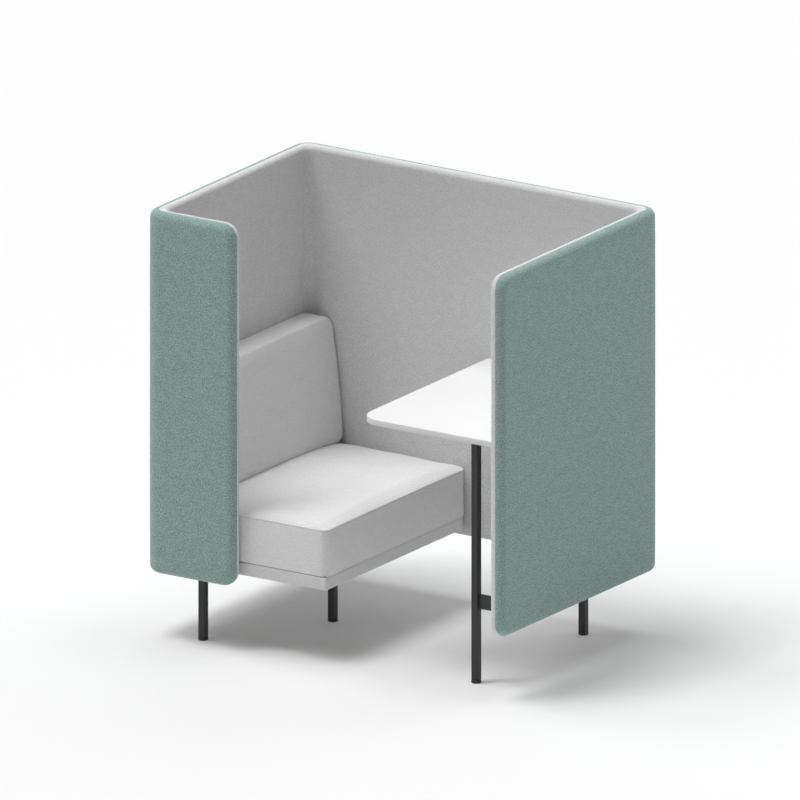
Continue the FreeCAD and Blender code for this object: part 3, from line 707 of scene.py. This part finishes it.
def backrest_cushion():
    """Wedge cushion with a full face, a crisp top edge and a foot that follows the seat."""
    low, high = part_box("backrest_cushion")
    width = high.y - low.y
    top_rise, rise_limit = 0.009, 0.0015
    foot, top = low.z + SEAT_END_FALL, high.z + top_rise
    height = top - foot
    deep, shallow, bulge, swell = high.x - low.x, 0.088, 0.008, 0.003
    edge, end_edge, rear_corner, recess, clear, step = 0.010, 0.010, 0.027, 0.0203, 0.0003, 0.010
    radius, rear_edge, rear_rim, lip, board_inset = 0.032, 0.002, 0.004, 0.028, 0.029
    round_steps = 6
    panel = Panel(width, height, (radius, radius), step, first_share=0.1)

    def front(points):
        climb = points[:, 1] / height
        full = deep + (shallow - deep) * climb + 4 * bulge * climb * (1 - climb)
        inside = np.maximum(panel.edge_distance(points) - edge, 0)
        return full - swell * (1 - np.exp(-inside / (3 * edge)))

    profile = edge_round(end_edge, edge, round_steps)
    middle = len(profile) // 2
    profile += [(0.0, share, (rear_corner + clear) * (1 - share) - edge * share)
                for share in FACE_SHARES]
    rear = len(profile)
    for degrees in REAR_DEGREES:
        turn = math.radians(degrees)
        profile.append(((rear_corner * (1 - math.cos(turn)), rear_edge * (1 - math.cos(turn))), 0,
                        rear_corner * (1 - math.sin(turn)) + clear))
    profile += [((rear_corner, rear_rim), 0, clear), (lip, 0, clear), (board_inset, 0, recess)]
    points, faces, weave, starts = panel.shell(profile, front)
    level = foot - end_fall(points[:, 0], width)
    level = level + (top - level) * points[:, 1] / height
    vertices = np.column_stack([low.x + points[:, 2], low.y + points[:, 0], level])
    cushion = make_piece("backrest_cushion_cover", vertices, faces, COATS["seat_fabric"],
                         weave)
    held = np.concatenate([np.arange(starts[middle], starts[middle + 1]),
                           np.arange(starts[rear], starts[-1])])
    floor = np.column_stack([np.full(len(points), low.x + clear), np.full(len(points), low.y - SIDE_SWELL),
                             np.where(points[:, 1] < 0.5 * height, level, low.z)])
    inflate(cushion, held, (swell, SIDE_SWELL, rise_limit), floor,
            (high.x + swell, high.y + SIDE_SWELL, top + rise_limit))
    subdivide(cushion)
    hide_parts("backrest_cushion")


backrest_cushion()


# Seat base cover: cloth drawn round the base's three open sides

def base_cover():
    """Band of cloth with soft edges over the seat's rails."""
    low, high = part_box("seat_base_cover")
    thick, edge, corner, flap, ply = 0.002, 0.0012, 0.004, 0.016, 0.00015
    ease, path_step, rise_step = 0.3 * edge, 0.02, 0.008
    points, normals = rounded_path([(low.x, low.y), (high.x, low.y), (high.x, high.y), (low.x, high.y)],
                                   [0, corner, corner, 0], closed=False, steps=6)
    points, normals = refine(points, normals, path_step, closed=False)
    section = [(-thick, low.z), (-edge, low.z), (-ease, low.z + ease), (0, low.z + edge)]
    section += [(0.0, level) for level in spaced(low.z + edge, high.z - edge, rise_step)[1:-1]]
    section += [(0, high.z - edge), (-ease, high.z - ease), (-edge, high.z),
                (-thick, high.z + ply), (-flap, high.z + ply), (-flap, high.z), (-thick, high.z)]
    vertices, faces, weave = sweep(points, normals, section, False, True)
    # Its cloth is painted darker than the seat's, for the shade under the cushion's overhang.
    cover = make_piece("seat_base_cloth", vertices, faces, COATS["base_cloth"], weave)
    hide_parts("seat_base_cover")


def dust_cover():
    """Thin pale cloth that is stretched under the seat's rails."""
    low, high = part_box("seat_deck")
    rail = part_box("seat_rail_left")[0].z
    margin, ply, corner = 0.012, 0.0005, 0.01
    left, right, front, rear = low.x + margin, high.x - margin, low.y + margin, high.y - margin
    points, normals = rounded_path([(left, front), (right, front), (right, rear), (left, rear)],
                                   [corner] * 4, closed=True, steps=4)
    vertices, faces, _ = sweep(points, normals, [(0, rail - ply), (0, rail)], True, False)
    weave = vertices[:, :2]
    sheet = make_piece("seat_dust_cover", vertices, faces, COATS["dust_cloth"], weave,
                       smooth=False)


base_cover()
dust_cover()


# Table top: a laminated board with an edge band

def table_top():
    """Board with one large round corner, and a thin band round its edge."""
    low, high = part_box("table_top")
    big, small, band, ease = 0.067, 0.003, 0.0013, 0.0008
    corners = [(low.x, low.y), (high.x, low.y), (high.x, high.y), (low.x, high.y)]
    points, normals = rounded_path(corners, [big, small, small, small], closed=True, steps=16)
    fine = 0.25 * ease
    board = [(-band - ease, low.z), (-band - fine, low.z + fine), (-band, low.z + ease),
             (-band, high.z - ease), (-band - fine, high.z - fine), (-band - ease, high.z)]
    vertices, faces, _ = sweep(points, normals, board, True, False)
    top = make_piece("table_board", vertices, faces, COATS["laminate"], smooth=False)
    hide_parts("table_top")
    strip = [(-band, low.z + fine), (-ease, low.z + fine), (-fine, low.z + 2 * fine), (0, low.z + ease),
             (0, high.z - ease), (-fine, high.z - 2 * fine), (-ease, high.z - fine), (-band, high.z - fine)]
    vertices, faces, _ = sweep(points, normals, strip, True, True)
    edge = make_piece("table_edge_band", vertices, faces, COATS["laminate"])
    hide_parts("table_top")


table_top()


# Fasteners and welds

LEGS = ("seat_front", "seat_rear", "seat_middle", "table_front", "table_rear")
SCREW_HEAD = [(0.0019, 0.0009), (0.0021, 0.0024), (0.0036, 0.0023), (0.0049, 0.0015), (0.0054, 0.0006),
              (0.0054, 0.0)]
BOLT_HEAD = [(0.0026, 0.0014), (0.0028, 0.0040), (0.0050, 0.0039), (0.0064, 0.0030), (0.0070, 0.0014),
             (0.0070, 0.0)]
HEAD_SIDES = 24


def fasteners():
    """Screw heads under the leg plates and table angles, bolt heads on the wall flanges."""
    margin, side_margin, back_margin, bolt_margin = 0.010, 0.05, 0.04, 0.014
    side_count, back_count, down = 4, 3, (0, 0, -1)
    gauge, line, flange = 0.003, 0.018, 0.004
    screws, bolts = [], []
    for leg in LEGS:
        low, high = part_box(f"leg_plate_{leg}")
        screws += [((x, y, low.z), down) for x in (low.x + margin, high.x - margin)
                   for y in (low.y + margin, high.y - margin)]
    low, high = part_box("table_side_angle")
    for y in np.linspace(low.y + side_margin, high.y - side_margin, side_count):
        screws.append(((high.x - line, y, high.z - gauge), down))
        screws.append(((high.x - gauge, y, high.z - line), (-1, 0, 0)))
    low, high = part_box("table_back_angle")
    for x in np.linspace(low.x + back_margin, high.x - back_margin, back_count):
        screws.append(((x, high.y - line, high.z - gauge), down))
        screws.append(((x, high.y - gauge, high.z - line), (0, -1, 0)))
    for side in ("front", "rear"):
        low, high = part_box(f"leg_bracket_{side}")
        level = (low.z + high.z) / 2
        bolts += [((high.x - flange, y, level), (-1, 0, 0))
                  for y in (low.y + bolt_margin, high.y - bolt_margin)]
    heads = (("mounting_screws", SCREW_HEAD, screws), ("flange_bolts", BOLT_HEAD, bolts))
    for name, profile, places in heads:
        vertices, faces = repeat(lathe(profile, HEAD_SIDES), places)
        make_piece(name, vertices, faces, COATS["black_steel"])


def weld_beads():
    """Rippled bead round each leg's top, under its plate."""
    size, ripple, waves, sides = 0.0021, 0.00025, 26, 8
    sink, tube_corner, pitch = 0.0004, 0.002, 0.0012
    vertices, faces = [], []
    for leg in LEGS:
        low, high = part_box(f"leg_tube_{leg}")
        corners = [(low.x, low.y), (high.x, low.y), (high.x, high.y), (low.x, high.y)]
        points, normals = rounded_path(corners, [tube_corner] * 4, closed=True, steps=4)
        points, normals = refine(points, normals, pitch, closed=True)
        count, first = len(points), len(vertices)
        for k, (point, normal) in enumerate(zip(points, normals)):
            radius = size + ripple * math.sin(2 * math.pi * waves * k / count)
            for j in range(sides):
                angle = 2 * math.pi * j / sides
                x, y = point + normal * (radius * math.cos(angle) - sink)
                vertices.append((x, y, high.z + radius * math.sin(angle) - sink))
        for k in range(count):
            ahead = (k + 1) % count
            for j in range(sides):
                up = (j + 1) % sides
                faces.append((first + k * sides + j, first + ahead * sides + j,
                              first + ahead * sides + up, first + k * sides + up))
    make_piece("leg_weld_beads", vertices, faces, COATS["black_steel"])


fasteners()
weld_beads()


# Studio: pale floor, soft light and the photograph's camera

FLOOR, FLOOR_LIFT = (0.88, 0.88, 0.88), 0.08
WORLD_LIGHT, WORLD_SEEN = 0.04, 0.95
# name, turn from +X, elevation and width in degrees, level
SUNS = (
    ("sun_over_right", 45, 76, 20, 0.132),
    ("sun_over_rear", 135, 76, 20, 0.098),
    ("sun_over_front", 225, 76, 20, 0.418),
    ("sun_left", 180, 58, 20, 0.15),
    ("sun_front_left", 225, 58, 20, 0.188),
    ("sun_rear", 90, 20, 86, 0.442),
)
VIEW_RIGHT = Vector((0.83867, 0.54464, 0.0))
VIEW_UP = Vector((-0.15924, 0.24521, 0.95630))
VIEW_BACK = Vector((0.52084, -0.80202, 0.29237))
FRAME_WIDTH, SHIFT_RIGHT, SHIFT_UP, CAMERA_DISTANCE = 2.336, -0.0076, 0.6840, 12.0


def floor_material():
    """Pale matt floor, lifted a little towards white where it is seen."""
    material, tree, shader = new_material("studio_floor", 1.0, 0.0)
    shader.inputs["Base Color"].default_value = (*FLOOR, 1.0)
    lift = maths(tree, "MULTIPLY", seen_directly(tree), FLOOR_LIFT)
    white = add(tree, "Emission", {"Color": (1, 1, 1, 1), "Strength": 1.0}).outputs[0]
    mixed = add(tree, "MixShader", {0: lift, 1: shader.outputs[0], 2: white})
    tree.links.new(mixed.outputs[0], tree.nodes["Material Output"].inputs["Surface"])
    return material


def studio():
    """Adds the floor, the lamps, the world and the camera."""
    scene = bpy.context.scene
    reach = 14.0
    mesh = bpy.data.meshes.new("studio_floor")
    mesh.from_pydata([(-reach, -reach, 0), (reach, -reach, 0), (reach, reach, 0), (-reach, reach, 0)], [],
                     [(0, 1, 2, 3)])
    mesh.materials.append(floor_material())
    floor = bpy.data.objects.new("studio_floor", mesh)
    scene.collection.objects.link(floor)
    world = bpy.data.worlds.new("studio_world")
    world.use_nodes = True
    tree = world.node_tree
    strength = add(tree, "MapRange", {"Value": seen_directly(tree), 3: WORLD_LIGHT, 4: WORLD_SEEN})
    background = tree.nodes["Background"]
    background.inputs["Color"].default_value = (1, 1, 1, 1)
    tree.links.new(strength.outputs[0], background.inputs["Strength"])
    scene.world = world
    for name, turn, elevation, width, level in SUNS:
        lamp = bpy.data.lights.new(name, "SUN")
        lamp.energy = level * math.pi
        lamp.angle = math.radians(width)
        sun = bpy.data.objects.new(name, lamp)
        sun.rotation_euler = (0, math.radians(90 - elevation), math.radians(turn))
        scene.collection.objects.link(sun)
    lens = bpy.data.cameras.new("camera")
    lens.type = "ORTHO"
    lens.ortho_scale = FRAME_WIDTH
    lens.clip_end = 60.0
    camera = bpy.data.objects.new("camera", lens)
    axes = Matrix((VIEW_RIGHT, VIEW_UP, VIEW_BACK)).transposed().to_4x4()
    place = VIEW_RIGHT * SHIFT_RIGHT + VIEW_UP * SHIFT_UP + VIEW_BACK * CAMERA_DISTANCE
    camera.matrix_world = Matrix.Translation(place) @ axes
    scene.collection.objects.link(camera)
    scene.camera = camera
    scene.view_settings.view_transform = "Standard"


studio()
